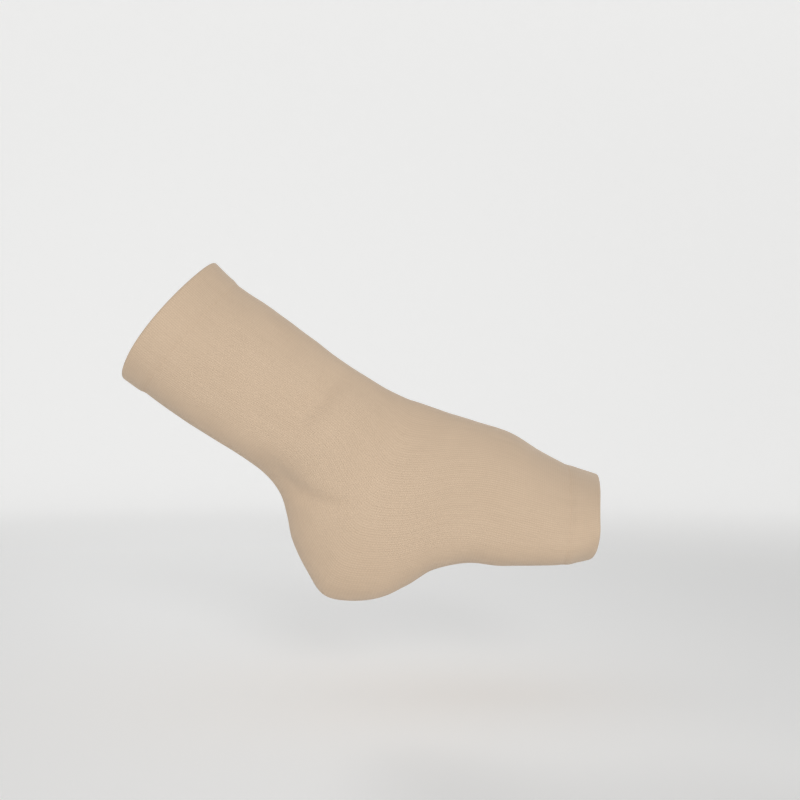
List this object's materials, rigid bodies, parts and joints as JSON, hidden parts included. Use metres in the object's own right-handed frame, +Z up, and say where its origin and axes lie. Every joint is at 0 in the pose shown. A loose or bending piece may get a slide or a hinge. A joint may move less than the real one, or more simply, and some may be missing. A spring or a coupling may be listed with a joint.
{
  "type": "heel and elbow protector",
  "caption": "Knitted tubular sleeve that covers heel, ankle and foot, open at the toes and at the leg, with a turned hem round each opening.",
  "frame": {"origin": "middle of the ankle inside the sleeve, where the foot carries it", "axes": "+X towards the toes, +Z up, -Y to the outer side of the right foot; the foot points a little down and the leg rises to the rear"},
  "size_m": [0.2896, 0.0936, 0.2052],
  "materials": {
    "knit": "matte fine knit, skin beige",
    "hem_knit": "matte fine knit, doubled, skin beige"
  },
  "bodies": {
    "root": {"sleeve": "knit", "leg_hem": "hem_knit", "toe_hem": "hem_knit"}
  },
  "joints": []
}
